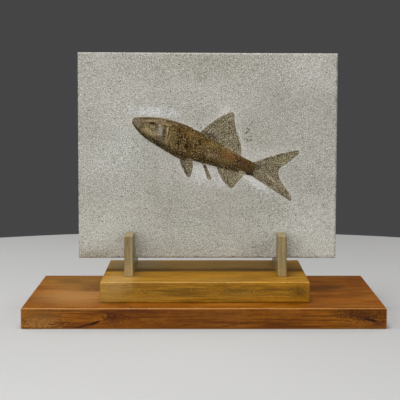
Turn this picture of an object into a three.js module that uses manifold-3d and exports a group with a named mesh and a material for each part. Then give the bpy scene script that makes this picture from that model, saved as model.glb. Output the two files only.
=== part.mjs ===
// A fossil fish in a pale limestone slab, held upright by two slotted brackets on a stepped wooden stand.
// Millimetres, +Z up. The origin is the middle of the base board's underside, and the fish faces -Y.
import * as THREE from 'three';
import { mergeVertices } from 'three/addons/utils/BufferGeometryUtils.js';
import Module from 'manifold-3d';

const wasm = await Module();
wasm.setup();

// Driving dimensions
const base = { length: 338.6, depth: 195, height: 19.5 };
const riser = { length: 198, depth: 145, height: 20, middleX: 1.1, middleY: 2.75 };
const boardEdge = { cornerRadius: 2, roundOver: 1.25, steps: 2 };
const bracket = {
  width: 8.4,
  leftX: -72.5,
  rightX: 76,
  footHeight: 13.75,
  frontReach: 32,
  prongRise: 26,
  rearThickness: 15,
  rearRise: 52,
  footRear: 66,
  edge: 0.5,
};
const slab = {
  length: 254,
  leftHeight: 202.5,
  rightHeight: 201.25,
  lean: 0.6,
  thickness: 14,
  middleX: 3.5,
  arris: 1,
  wander: 0.35,
  step: 7,
};
const slotPlay = 0.25;
const fish = {
  rim: 0.5,
  bodyRise: 2,
  finRise: 0.45,
  rayRise: 0.35,
  gill: { x: -28.5, z: 119, bow: 0.018, step: 0.4, width: 1.5 },
  swell: { start: 0.12, span: 0.8 },
  eye: { x: -53.3, z: 131.2, radius: 3.8, rimRise: 0.45, rimWidth: 0.9 },
};

const grid = { bodyColumns: 64, bodyRows: 14, columnsPerRay: 2, finRows: 5 };

const riserTop = base.height + riser.height;
const slabBottom = riserTop + bracket.footHeight;
const slabFront = -slab.thickness / 2;

// Boards: a rectangle with eased corners, and all its edges rounded over.
function roundedRectangle(length, depth, radius) {
  const halfLength = length / 2;
  const halfDepth = depth / 2;
  const quarter = Math.PI / 2;
  const shape = new THREE.Shape();
  shape.absarc(halfLength - radius, -halfDepth + radius, radius, -quarter, 0);
  shape.absarc(halfLength - radius, halfDepth - radius, radius, 0, quarter);
  shape.absarc(-halfLength + radius, halfDepth - radius, radius, quarter, 2 * quarter);
  shape.absarc(-halfLength + radius, -halfDepth + radius, radius, 2 * quarter, 3 * quarter);
  return shape;
}

// Extrudes a shape to a full thickness that includes its bevels, from zero upwards.
function extrudeWithBevel(shape, thickness, bevel, steps) {
  const geometry = new THREE.ExtrudeGeometry(shape, {
    depth: thickness - 2 * bevel,
    curveSegments: 3,
    bevelEnabled: true,
    bevelThickness: bevel,
    bevelSize: bevel,
    bevelOffset: -bevel,
    bevelSegments: steps,
  });
  return geometry.translate(0, 0, bevel);
}

function boardGeometry(board) {
  const outline = roundedRectangle(board.length, board.depth, boardEdge.cornerRadius);
  return extrudeWithBevel(outline, board.height, boardEdge.roundOver, boardEdge.steps);
}

// Brackets: the side view is drawn in (y, z) from the riser's top and extruded along X.
function bracketGeometry() {
  const slotHalf = slab.thickness / 2 + slotPlay;
  const front = -slotHalf - bracket.frontReach;
  const rearFace = slotHalf + bracket.rearThickness;
  const prongTop = bracket.footHeight + bracket.prongRise;
  const rearTop = bracket.footHeight + bracket.rearRise;
  const shape = new THREE.Shape();
  shape.moveTo(front, 0);
  shape.lineTo(bracket.footRear, 0);
  shape.lineTo(bracket.footRear, bracket.footHeight);
  shape.lineTo(rearFace, rearTop);
  shape.lineTo(slotHalf, rearTop);
  shape.lineTo(slotHalf, bracket.footHeight);
  shape.lineTo(-slotHalf, bracket.footHeight);
  shape.lineTo(-slotHalf, prongTop);
  shape.lineTo(front, prongTop);
  const geometry = extrudeWithBevel(shape, bracket.width, bracket.edge, 1);
  const sideways = new THREE.Matrix4().set(0, 0, 1, -bracket.width / 2, 1, 0, 0, 0, 0, 1, 0, 0, 0, 0, 0, 1);
  return geometry.applyMatrix4(sideways);
}

// Slab: sawn not quite square, with sides that wander a little and worn arrises.
function slabWander(travel, side) {
  const slow = Math.sin(0.071 * travel + 1.9 * side);
  const quick = Math.sin(0.23 * travel + 4.1 * side);
  return slab.wander * (0.6 * slow + 0.4 * quick);
}

function slabOutline() {
  const halfLength = slab.length / 2;
  const corners = [
    [-halfLength, 0],
    [halfLength, 0],
    [halfLength + slab.lean, slab.rightHeight],
    [-halfLength + slab.lean, slab.leftHeight],
  ];
  const points = [];
  for (let side = 0; side < 4; side += 1) {
    const from = corners[side];
    const to = corners[(side + 1) % 4];
    const length = Math.hypot(to[0] - from[0], to[1] - from[1]);
    const count = Math.round(length / slab.step);
    const inward = [-(to[1] - from[1]) / length, (to[0] - from[0]) / length];
    for (let index = 0; index < count; index += 1) {
      const share = index / count;
      const settle = Math.sin(Math.PI * share);
      const shift = side === 0 ? 0 : (slab.wander + slabWander(share * length, side)) * settle;
      points.push(new THREE.Vector2(
        from[0] + (to[0] - from[0]) * share + inward[0] * shift,
        from[1] + (to[1] - from[1]) * share + inward[1] * shift,
      ));
    }
  }
  return points;
}

function slabGeometry() {
  const shape = new THREE.Shape(slabOutline());
  const geometry = extrudeWithBevel(shape, slab.thickness, slab.arris, 1);
  const upright = new THREE.Matrix4().set(1, 0, 0, 0, 0, 0, -1, slab.thickness / 2, 0, 1, 0, 0, 0, 0, 0, 1);
  return geometry.applyMatrix4(upright);
}

// Fish: every part of it is a patch between two curves on the slab's front face, given as [x, z] from
// the middle of the slab's bottom edge, and raised towards the viewer by a height of its own.
const bodyBack = [
  [-73.6, 134.9], [-72, 139], [-63, 139.6], [-54, 139.6], [-48, 139], [-42, 138.2], [-36, 136.9],
  [-29.5, 135], [-23.5, 133], [-17.5, 130.7], [-12, 127.7], [-6, 124.7], [2, 120], [11.5, 114.4],
  [26.5, 105.2], [37, 99.4], [48.5, 94],
];
const bodyBelly = [
  [-73.6, 133.7], [-69.5, 127.4], [-61.5, 119.3], [-48.5, 110.7], [-33.5, 101.7], [-23.5, 97.2],
  [-11.5, 95.8], [6.5, 91.2], [24.5, 86.6], [36, 83.4], [45.5, 81],
];
// Each fin's rays run from base to margin, in clockwise order round the fish. bow bends its first and
// last ray sideways.
const fins = {
  dorsal: {
    base: [[-6.8, 124.7], [6.5, 116.5], [20, 108], [33.2, 100.4]],
    margin: [[22, 144.5], [26.6, 143.4], [27.4, 133.4], [30, 122.4], [32.9, 114.3], [33.8, 105.8]],
    bow: [1.8, 0],
    rays: 14,
  },
  caudal: {
    base: [[43, 94], [44.5, 89], [41, 83.4]],
    margin: [
      [90.2, 107.4], [89.4, 102.8], [78.4, 94], [71.8, 89.4], [70.3, 84], [72.8, 76.4],
      [83, 61.8], [81.8, 56.6],
    ],
    bow: [1.6, 0],
    rays: 18,
  },
  anal: {
    base: [[36.5, 86], [22, 90], [8.8, 92.6]],
    margin: [[36.2, 82.6], [32, 78.2], [27, 72], [24.2, 69.3], [22, 69.9]],
    bow: [0, -2.4],
    rays: 9,
  },
  pelvic: {
    base: [[-3.6, 97], [-6.8, 97.5]],
    margin: [[4.1, 80], [3.6, 77.9], [1.6, 77.8], [-0.4, 79.6]],
    bow: [0.4, 0.4],
    rays: 3,
  },
  pectoral: {
    base: [[-15, 99.5], [-27.6, 101]],
    margin: [[-14.2, 96], [-13.8, 90.4], [-15.5, 83.8], [-17.4, 80.2], [-20.4, 81.6]],
    bow: [0, -1.3],
    rays: 6,
  },
};

function curveOf(points) {
  return new THREE.SplineCurve(points.map(([x, z]) => new THREE.Vector2(x, z)));
}

// A closed relief: a grid of front points over the patch, the same grid laid on the slab, and a wall
// round it.
function reliefPatch(columns, rows, placeAt, riseAt) {
  const positions = [];
  const triangles = [];
  const stride = rows + 1;
  const layer = (columns + 1) * stride;
  for (const front of [true, false]) {
    for (let column = 0; column <= columns; column += 1) {
      for (let row = 0; row <= rows; row += 1) {
        const place = placeAt(column / columns, row / rows);
        const rise = front ? riseAt(column / columns, row / rows, place) : 0;
        positions.push(place.x, -rise, place.y);
      }
    }
  }
  for (let column = 0; column < columns; column += 1) {
    for (let row = 0; row < rows; row += 1) {
      const a = column * stride + row;
      const b = a + stride;
      triangles.push(a, b, b + 1, a, b + 1, a + 1);
      triangles.push(layer + a, layer + b + 1, layer + b, layer + a, layer + a + 1, layer + b + 1);
    }
  }
  const wall = (from, to) => triangles.push(to, layer + to, layer + from, to, layer + from, from);
  for (let column = 0; column < columns; column += 1) {
    wall((column + 1) * stride, column * stride);
    wall(column * stride + rows, (column + 1) * stride + rows);
  }
  for (let row = 0; row < rows; row += 1) {
    wall(row, row + 1);
    wall(columns * stride + row + 1, columns * stride + row);
  }
  return new wasm.Manifold(new wasm.Mesh({
    numProp: 3,
    vertProperties: new Float32Array(positions),
    triVerts: new Uint32Array(triangles),
  }));
}

function smoothStep(low, high, value) {
  const share = Math.min(1, Math.max(0, (value - low) / (high - low)));
  return share * share * (3 - 2 * share);
}

// The gill cover's rear edge leans with the head, and the plates before it stand a step higher.
function gillEdge(z) {
  return fish.gill.x - fish.gill.bow * (z - fish.gill.z) ** 2;
}

function bodyRiseAt(along, across, place) {
  const swell = Math.sin(Math.PI * (fish.swell.start + fish.swell.span * along));
  const dome = Math.sqrt(Math.max(0, 1 - (2 * across - 1) ** 2));
  const gill = fish.gill.step * (1 - smoothStep(0, fish.gill.width, place.x - gillEdge(place.y)));
  const fromEye = Math.hypot(place.x - fish.eye.x, place.y - fish.eye.z);
  const orbit = fish.eye.rimRise * Math.exp(-(((fromEye - fish.eye.radius) / fish.eye.rimWidth) ** 2));
  return fish.rim + dome * (fish.bodyRise * swell + gill + orbit);
}

function bodyPatch() {
  const back = curveOf(bodyBack);
  const belly = curveOf(bodyBelly);
  const placeAt = (along, across) => {
    const shared = 0.35 * along + 0.65 * along ** 1.25;
    return belly.getPointAt(shared).lerp(back.getPointAt(shared), across);
  };
  return reliefPatch(grid.bodyColumns, grid.bodyRows, placeAt, bodyRiseAt);
}

function finPatch(fin) {
  const root = curveOf(fin.base);
  const margin = curveOf(fin.margin);
  const placeAt = (along, outward) => {
    const from = root.getPointAt(along);
    const to = margin.getPointAt(along);
    const reach = to.clone().sub(from);
    const sideways = new THREE.Vector2(-reach.y, reach.x).normalize();
    const bow = THREE.MathUtils.lerp(fin.bow[0], fin.bow[1], along) * Math.sin(Math.PI * outward);
    return from.lerp(to, outward).addScaledVector(sideways, bow);
  };
  const riseAt = (along, outward) => {
    const ray = 0.5 + 0.5 * Math.cos(2 * Math.PI * fin.rays * along);
    return fish.finRise + fish.rayRise * ray * (1 - 0.4 * outward);
  };
  return reliefPatch(fin.rays * grid.columnsPerRay, grid.finRows, placeAt, riseAt);
}

function fishGeometry() {
  let solid = bodyPatch();
  for (const fin of Object.values(fins)) {
    solid = solid.add(finPatch(fin));
  }
  const mesh = solid.getMesh();
  const geometry = new THREE.BufferGeometry();
  geometry.setAttribute('position', new THREE.BufferAttribute(mesh.vertProperties, 3));
  geometry.setIndex(new THREE.BufferAttribute(mesh.triVerts, 1));
  return geometry;
}

function sharpFaced(geometry) {
  geometry.deleteAttribute('normal');
  geometry.deleteAttribute('uv');
  return mergeVertices(geometry, 1e-4);
}

function piece(name, geometry, material) {
  const mesh = new THREE.Mesh(sharpFaced(geometry), material);
  mesh.name = name;
  return mesh;
}

const baseWood = new THREE.MeshStandardMaterial({ color: 0x7f4a22, roughness: 0.42, metalness: 0 });
const riserWood = new THREE.MeshStandardMaterial({ color: 0x936329, roughness: 0.4, metalness: 0 });
const bracketWood = new THREE.MeshStandardMaterial({ color: 0x857650, roughness: 0.45, metalness: 0 });
const limestone = new THREE.MeshStandardMaterial({ color: 0xaaa596, roughness: 0.95, metalness: 0 });
const fossil = new THREE.MeshStandardMaterial({ color: 0x54442a, roughness: 0.75, metalness: 0 });

const baseBoard = piece('base_board', boardGeometry(base), baseWood);

const riserBoard = piece('riser_board', boardGeometry(riser), riserWood);
riserBoard.position.set(riser.middleX, riser.middleY, base.height);

const leftBracket = piece('left_bracket', bracketGeometry(), bracketWood);
leftBracket.position.set(bracket.leftX, 0, riserTop);

const rightBracket = piece('right_bracket', bracketGeometry(), bracketWood.clone());
rightBracket.position.set(bracket.rightX, 0, riserTop);

const stoneSlab = piece('stone_slab', slabGeometry(), limestone);
stoneSlab.position.set(slab.middleX, 0, slabBottom);

const fossilFish = piece('fossil_fish', fishGeometry(), fossil);
fossilFish.position.set(slab.middleX, slabFront, slabBottom);

const model = new THREE.Group();
model.add(baseBoard, riserBoard, leftBracket, rightBracket, stoneSlab, fossilFish);

export default model;
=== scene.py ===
import math

import bmesh
import bpy
import numpy as np
from mathutils import Euler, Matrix, Vector, kdtree, noise


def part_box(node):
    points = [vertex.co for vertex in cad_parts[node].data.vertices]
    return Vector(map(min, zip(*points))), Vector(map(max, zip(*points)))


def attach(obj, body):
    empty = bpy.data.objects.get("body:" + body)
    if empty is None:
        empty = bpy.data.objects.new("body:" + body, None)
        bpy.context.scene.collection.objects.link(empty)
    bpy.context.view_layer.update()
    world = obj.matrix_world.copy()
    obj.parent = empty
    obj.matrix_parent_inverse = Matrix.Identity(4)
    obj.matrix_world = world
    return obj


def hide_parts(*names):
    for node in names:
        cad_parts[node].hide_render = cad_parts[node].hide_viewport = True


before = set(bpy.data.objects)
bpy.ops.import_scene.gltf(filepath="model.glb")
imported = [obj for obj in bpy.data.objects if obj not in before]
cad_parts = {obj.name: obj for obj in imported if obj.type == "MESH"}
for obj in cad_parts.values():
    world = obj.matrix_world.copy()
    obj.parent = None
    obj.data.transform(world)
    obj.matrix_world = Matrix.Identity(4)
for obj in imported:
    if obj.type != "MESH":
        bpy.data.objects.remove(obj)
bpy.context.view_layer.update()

mm = 0.001  # lengths below are in millimetres and become metres as each object is made


def boxOf(node):
    low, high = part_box(node)
    return np.array(low) / mm, np.array(high) / mm


# camera and light

camera = {
    "place": (-3.5, -1281.9, 236.2),
    "lookDown": 5.605,  # degrees below the horizon
    "lens": 117,
}

# softboxes: the direction they stand in (degrees round from the front, degrees up), how far away in
# millimetres, their width and height, and how bright they make a surface that faces them
lights = {
    "key": {"from": (-22, 9), "distance": 850, "size": (600, 500), "strength": 0.44},
    "fill": {"from": (40, 14), "distance": 900, "size": (500, 500), "strength": 0.25},
    "front": {"from": (-14, 64), "distance": 1400, "size": (550, 450), "strength": 0.5},
    "left": {"from": (-74, 46), "distance": 900, "size": (450, 450), "strength": 0.31},
    "top": {"from": (0, 88), "distance": 1500, "size": (800, 110), "strength": 0.66},
    "leftRim": {"from": (-125, 26), "distance": 1000, "size": (500, 400), "strength": 0.3},
    "rightRim": {"from": (125, 26), "distance": 1100, "size": (500, 400), "strength": 0.22},
}
aim = (0.0, 0.0, 130.0)
surroundings = {"air": (0.06, 0.06, 0.062), "floor": (0.36, 0.357, 0.35), "floorRadius": 640}


def addObject(name, data):
    made = bpy.data.objects.new(name, data)
    bpy.context.scene.collection.objects.link(made)
    return made


def placeCamera():
    data = bpy.data.cameras.new("camera")
    data.lens = camera["lens"]
    data.clip_end = 100
    eye = addObject("camera", data)
    eye.location = Vector(camera["place"]) * mm
    eye.rotation_euler = Euler((math.radians(90 - camera["lookDown"]), 0, 0))
    bpy.context.scene.camera = eye


def placeLights():
    for name, look in lights.items():
        side, height = [math.radians(angle) for angle in look["from"]]
        flat = math.cos(height)
        toLight = Vector((math.sin(side) * flat, -math.cos(side) * flat, math.sin(height)))
        distance = look["distance"] * mm
        data = bpy.data.lights.new(name, "AREA")
        data.shape = "RECTANGLE"
        data.size, data.size_y = [length * mm for length in look["size"]]
        data.energy = look["strength"] * (math.pi * distance) ** 2
        lamp = addObject(name, data)
        lamp.location = Vector(aim) * mm + toLight * distance
        lamp.rotation_euler = toLight.to_track_quat("Z", "Y").to_euler()
        lamp.visible_camera = False
    world = bpy.data.worlds.new("studio")
    world.use_nodes = True
    world.node_tree.nodes["Background"].inputs["Color"].default_value = (*surroundings["air"], 1)
    bpy.context.scene.world = world
    bpy.context.scene.view_settings.view_transform = "Standard"


placeCamera()
placeLights()
print("camera and lights placed")


# materials

class Wire:
    # one output of a node, so that shader maths reads as plain maths
    def __init__(self, finish, socket):
        self.finish = finish
        self.socket = socket

    def __add__(self, other):
        return self.finish.maths("ADD", self, other)

    def __radd__(self, other):
        return self.finish.maths("ADD", other, self)

    def __sub__(self, other):
        return self.finish.maths("SUBTRACT", self, other)

    def __rsub__(self, other):
        return self.finish.maths("SUBTRACT", other, self)

    def __mul__(self, other):
        return self.finish.maths("MULTIPLY", self, other)

    def __rmul__(self, other):
        return self.finish.maths("MULTIPLY", other, self)

    def __truediv__(self, other):
        return self.finish.maths("DIVIDE", self, other)

    def __rtruediv__(self, other):
        return self.finish.maths("DIVIDE", other, self)


class Finish:
    # one material, built from a Principled shader
    def __init__(self, name, **constants):
        self.material = bpy.data.materials.new(name)
        self.material.use_nodes = True
        self.nodes = self.material.node_tree.nodes
        self.links = self.material.node_tree.links
        self.shader = self.nodes["Principled BSDF"]
        for socket, value in constants.items():
            self.shader.inputs[socket.replace("_", " ")].default_value = value
        where = self.node("ShaderNodeTexCoord", {}, {}, "Object")
        self.place = where * (1 / mm)  # millimetres in the row's frame

    def node(self, kind, settings, sockets, output=0):
        made = self.nodes.new(kind)
        for name, value in settings.items():
            setattr(made, name, value)
        for key, value in sockets.items():
            if isinstance(value, Wire):
                self.links.new(value.socket, made.inputs[key])
            else:
                made.inputs[key].default_value = value
        return Wire(self, made.outputs[output])

    def maths(self, operation, first, second=0.0):
        def isWide(value):
            return isinstance(value, tuple) or isinstance(value, Wire) and value.socket.type != "VALUE"

        if isWide(first) or isWide(second):
            pair = [(value,) * 3 if isinstance(value, (int, float)) else value for value in (first, second)]
            return self.node("ShaderNodeVectorMath", {"operation": operation}, {0: pair[0], 1: pair[1]})
        return self.node("ShaderNodeMath", {"operation": operation}, {0: first, 1: second})

    def mix(self, share, first, second):
        first, second = [value if isinstance(value, Wire) else (*value, 1) for value in (first, second)]
        settings = {"data_type": "RGBA"}
        return self.node("ShaderNodeMix", settings, {0: share, 6: first, 7: second}, 2)

    def step(self, value, start, full):
        # 0 up to start and 1 from full on; with full below start it falls as the value rises
        sockets = {"Value": value, "From Min": start, "From Max": full}
        return self.node("ShaderNodeMapRange", {"interpolation_type": "SMOOTHSTEP"}, sockets)

    def grain(self, size, detail=2.0, roughness=0.5, shift=0.0, place=None):
        # noise whose patches are about size millimetres, along x, y and z
        spread = tuple(1 / side for side in (size if isinstance(size, tuple) else (size,) * 3))
        vector = (place or self.place) * spread + (shift, shift, shift)
        sockets = {"Vector": vector, "Scale": 1.0, "Detail": detail, "Roughness": roughness}
        return self.node("ShaderNodeTexNoise", {}, sockets, "Fac")

    def grains(self, sizes):
        return {name: self.grain(*values) for name, values in sizes.items()}

    def length(self, vector):
        return self.node("ShaderNodeVectorMath", {"operation": "LENGTH"}, {0: vector}, "Value")

    def awayFrom(self, mark):
        # distance from the middle of an ellipse on the front, 1 at its edge
        turned = self.node(
            "ShaderNodeVectorRotate",
            {"rotation_type": "Y_AXIS"},
            {"Vector": self.place - mark["centre"], "Angle": math.radians(mark["tilt"])},
        )
        return self.length(turned * tuple(1 / side for side in mark["size"]))

    def spot(self, mark, rough):
        # 1 inside the ellipse, 0 outside, with an edge that the rough noise breaks up
        away = self.awayFrom(mark) + (rough - 0.5) * mark["ragged"]
        if mark["ring"]:
            away = self.maths("ABSOLUTE", away - 1) * (1 / mark["ring"])
        return (1 - self.step(away, 1 - mark["soft"], 1 + mark["soft"])) * mark["strength"]

    def dabbed(self, colour, marks, rough, where=None):
        # the colour with marks on it
        for mark in marks:
            cover = self.spot(mark, rough)
            if where:
                cover = cover * where
            colour = self.mix(cover, colour, mark["colour"])
        return colour

    def flecked(self, colour, flecks, maps):
        # the colour with flecks on it: each row is the map that they follow, the values at which they
        # begin and are full, how much they cover, their colour, and the mask that holds them, if any
        for name, start, full, share, tint, *masks in flecks:
            cover = self.step(maps[name], start, full) * share
            for mask in masks:
                cover = cover * maps[mask]
            colour = self.mix(cover, colour, tint)
        return colour

    def attribute(self, name):
        return self.node("ShaderNodeAttribute", {"attribute_name": name}, {}, "Fac")

    def bump(self, height, depth):
        return self.node("ShaderNodeBump", {}, {"Height": height, "Distance": depth * mm})

    def feed(self, socket, value):
        self.links.new(value.socket, self.shader.inputs[socket])


def patch(x, z, wide, high, tilt, colour, strength=1.0, ragged=2.4, soft=0.45, ring=0.0, y=0.0, deep=30.0):
    # an ellipse of another colour on a front face: its middle, half width, half height and tilt. ragged
    # breaks up its edge, soft is how wide the edge is, and ring leaves only a rim of that share of its size
    return {
        "centre": (x, y, z),
        "size": (wide, deep, high),
        "tilt": tilt,
        "colour": colour,
        "strength": strength,
        "ragged": ragged,
        "soft": soft,
        "ring": ring,
    }


# shapes

def noiseAt(points, size, shift=0.0):
    return np.array([noise.noise(point) for point in (points / size + shift).tolist()])


def pitsAt(points, size):
    # 1 at the middle of each pit, 0 between them
    nearest = np.array([noise.voronoi(point)[0][0] for point in (points / size).tolist()])
    return np.clip(1 - nearest / 0.55, 0, 1) ** 2


def smoothStep(value, low, high):
    share = np.clip((value - low) / (high - low), 0, 1)
    return share * share * (3 - 2 * share)


def smoothCurve(points, count):
    # a Catmull-Rom curve through the points, as evenly spaced points
    p = np.array([points[0], *points, points[-1]], float)
    t = np.linspace(0, 1, 24, endpoint=False)[:, None]
    dense = []
    for a, b, c, d in zip(p, p[1:], p[2:], p[3:]):
        straight = 2 * b + (c - a) * t
        square = (2 * a - 5 * b + 4 * c - d) * t**2
        cube = (3 * b - a - 3 * c + d) * t**3
        dense.append(0.5 * (straight + square + cube))
    dense = np.vstack([*dense, p[-1:]])
    run = np.concatenate([[0], np.cumsum(np.hypot(*np.diff(dense, axis=0).T))])
    even = np.linspace(0, run[-1], count)
    return np.column_stack([np.interp(even, run, dense[:, 0]), np.interp(even, run, dense[:, 1])])


def distanceTo(line, x, z):
    best = np.full(x.shape, np.inf)
    for (ax, az), (bx, bz) in zip(line[:-1], line[1:]):
        dx = bx - ax
        dz = bz - az
        share = np.clip(((x - ax) * dx + (z - az) * dz) / (dx * dx + dz * dz + 1e-12), 0, 1)
        best = np.minimum(best, np.hypot(x - ax - share * dx, z - az - share * dz))
    return best


def depthInside(outline, x, z):
    # distance to a closed outline, positive inside it
    closed = np.vstack([outline, outline[:1]])
    inside = np.zeros(x.shape, bool)
    for (ax, az), (bx, bz) in zip(closed[:-1], closed[1:]):
        if az != bz:
            crosses = (az > z) != (bz > z)
            inside ^= crosses & (x < ax + (z - az) * (bx - ax) / (bz - az))
    return np.where(inside, 1, -1) * distanceTo(closed, x, z)


def gridFaces(index):
    # four corners for each cell of a grid of points
    corners = (index[:-1, :-1], index[1:, :-1], index[1:, 1:], index[:-1, 1:])
    return np.column_stack([corner.ravel() for corner in corners])


def gridEdge(index):
    # the points round a grid, in one loop
    return np.concatenate([index[:-1, 0], index[-1, :-1], index[:0:-1, -1], index[0, :0:-1]])


def addPiece(name, node, points, faces, finish, values=None):
    mesh = bpy.data.meshes.new(name)
    mesh.from_pydata((np.asarray(points) * mm).tolist(), [], faces)
    for key, numbers in (values or {}).items():
        attribute = mesh.attributes.new(key, "FLOAT", "POINT")
        attribute.data.foreach_set("value", np.asarray(numbers, np.float32))
    mesh.materials.append(finish.material)
    mesh.shade_smooth()
    piece = addObject(name, mesh)
    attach(piece, "root")
    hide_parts(node)
    print(f"{name}: {len(points)} points, {len(faces)} faces")
    return piece


# wooden boards: a lattice of points on a box, with eased edges

def axisPlaces(low, high, radius, step):
    eased = [radius * (1 - math.tan(math.radians(angle))) for angle in (45, 33.75, 22.5, 11.25)]
    count = max(1, round((high - low - 2 * radius) / step))
    middle = np.linspace(low + radius, high - radius, count + 1)
    return np.concatenate([low + np.array(eased), middle, high - np.array(eased[::-1])])


def latticeShell(places):
    last = [len(axis) - 1 for axis in places]
    index = {}

    def corner(*key):
        return index.setdefault(key, len(index))

    faces = []
    for axis in range(3):
        u, v = (axis + 1) % 3, (axis + 2) % 3
        for end in (0, last[axis]):
            for i in range(last[u]):
                for j in range(last[v]):
                    ring = []
                    for di, dj in ((0, 0), (1, 0), (1, 1), (0, 1)):
                        key = [0, 0, 0]
                        key[axis], key[u], key[v] = end, i + di, j + dj
                        ring.append(corner(*key))
                    faces.append(ring if end else ring[::-1])
    points = np.array([[places[axis][key[axis]] for axis in range(3)] for key in index])
    return points, faces


def easedBox(low, high, radius, step):
    points, faces = latticeShell([axisPlaces(low[axis], high[axis], radius, step) for axis in range(3)])
    inner = np.clip(points, low + radius, high - radius)
    outward = points - inner
    reach = np.linalg.norm(outward, axis=1, keepdims=True)
    # how far round the eased edge each point is: it knocks the edges and lightens their colour, partly as
    # wear and partly as a painted highlight
    wear = np.clip((reach[:, 0] / radius - 1) / 0.4, 0, 1)
    return inner, outward / reach, faces, wear


# length along the grain and width of each pattern in the wood, in millimetres
woodGrain = {
    "wander": (90, 20),
    "ripple": (22, 6),
    "fibre": (34, 0.9),
    "streak": (60, 2.0),
    "band": (110, 12),
    "cloud": (55, 26),
    "pore": (5, 0.4),
}


def woodFinish(name, look):
    f = Finish(name, Coat_Weight=look["varnish"], Coat_Roughness=0.12, Specular_IOR_Level=look["shine"])
    long = look["grainAxis"]

    def along(pattern, *more, **others):
        length, width = woodGrain[pattern]
        size = [width, width, width]
        size[long] = length
        return f.grain(tuple(size), *more, **others)

    # the grain bends round each knot
    place = f.place
    for values in look["knots"]:
        knot = patch(*values, y=look["front"], deep=9)
        near = 1 - f.step(f.awayFrom(knot), 0.0, 1.0)
        place = place + near * (0.0, 0.0, knot["strength"])

    # growth rings round a heart line that runs with the grain, outside the board
    across = tuple(0.0 if axis == long else 1.0 for axis in range(3))
    ring = f.length((place - look["heart"]) * across) / look["ringWidth"]
    ring = ring + (along("wander", 3) - 0.5) * look["wander"] + (along("ripple", 2) - 0.5) * look["ripple"]
    cycle = f.maths("FRACT", ring)
    lateWood = f.step(cycle, 0.25, 0.85) * (1 - f.step(cycle, 0.9, 1.0))
    fibre = along("fibre", 2, 0.6, place=place)
    streak = along("streak", 3, 0.6, place=place)
    band = along("band", 2, 0.5, 4.0, place=place)
    cloud = along("cloud", 3, 0.6)
    pores = f.step(along("pore", 1), 0.6, 0.72)

    # streaks of two colours, with bands, rings, clouds, fibres, pores and marks over them (some marks are
    # painted light and shade), and eased edges lightened partly as wear and partly as a painted highlight
    colour = f.mix(f.step(streak, 0.35, 0.65), look["dark"], look["light"])
    colour = f.mix(f.step(band, 0.4, 0.62) * 0.6, colour, look["glow"])
    colour = f.mix(lateWood * look["ringDepth"], colour, look["late"])
    colour = f.mix(f.step(cloud, 0.5, 0.66) * look["cloudDepth"], colour, look["cloud"])
    colour = f.mix(f.step(cloud, 0.47, 0.34) * look["cloudDepth"], colour, look["late"])
    colour = f.mix(f.step(fibre, 0.48, 0.34) * 0.62, colour, look["late"])
    colour = f.mix(f.step(fibre, 0.54, 0.7) * 0.5, colour, look["light"])
    colour = f.mix(pores * 0.45, colour, look["pore"])
    marks = [patch(*values, y=look["front"], deep=9) for values in look["marks"]]
    marks += [patch(*values) for values in look["topMarks"]]
    markEdge = f.grain((2.6, 1.2, 0.9), 2)
    colour = f.dabbed(colour, marks, markEdge)
    # the edge colour on the eased edges is partly wear and partly a painted highlight where the rounded
    # edges catch the light
    colour = f.mix(f.attribute("wear") * look["edgeWearAndHighlight"], colour, look["edge"])
    f.feed("Base Color", colour)
    f.feed("Roughness", look["satin"] + fibre * 0.12 + pores * 0.15)
    relief = fibre * 0.5 + streak * 0.3 - pores * 0.8 - lateWood * 0.2
    f.feed("Normal", f.bump(relief, look["grainDepth"]))
    return f


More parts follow.
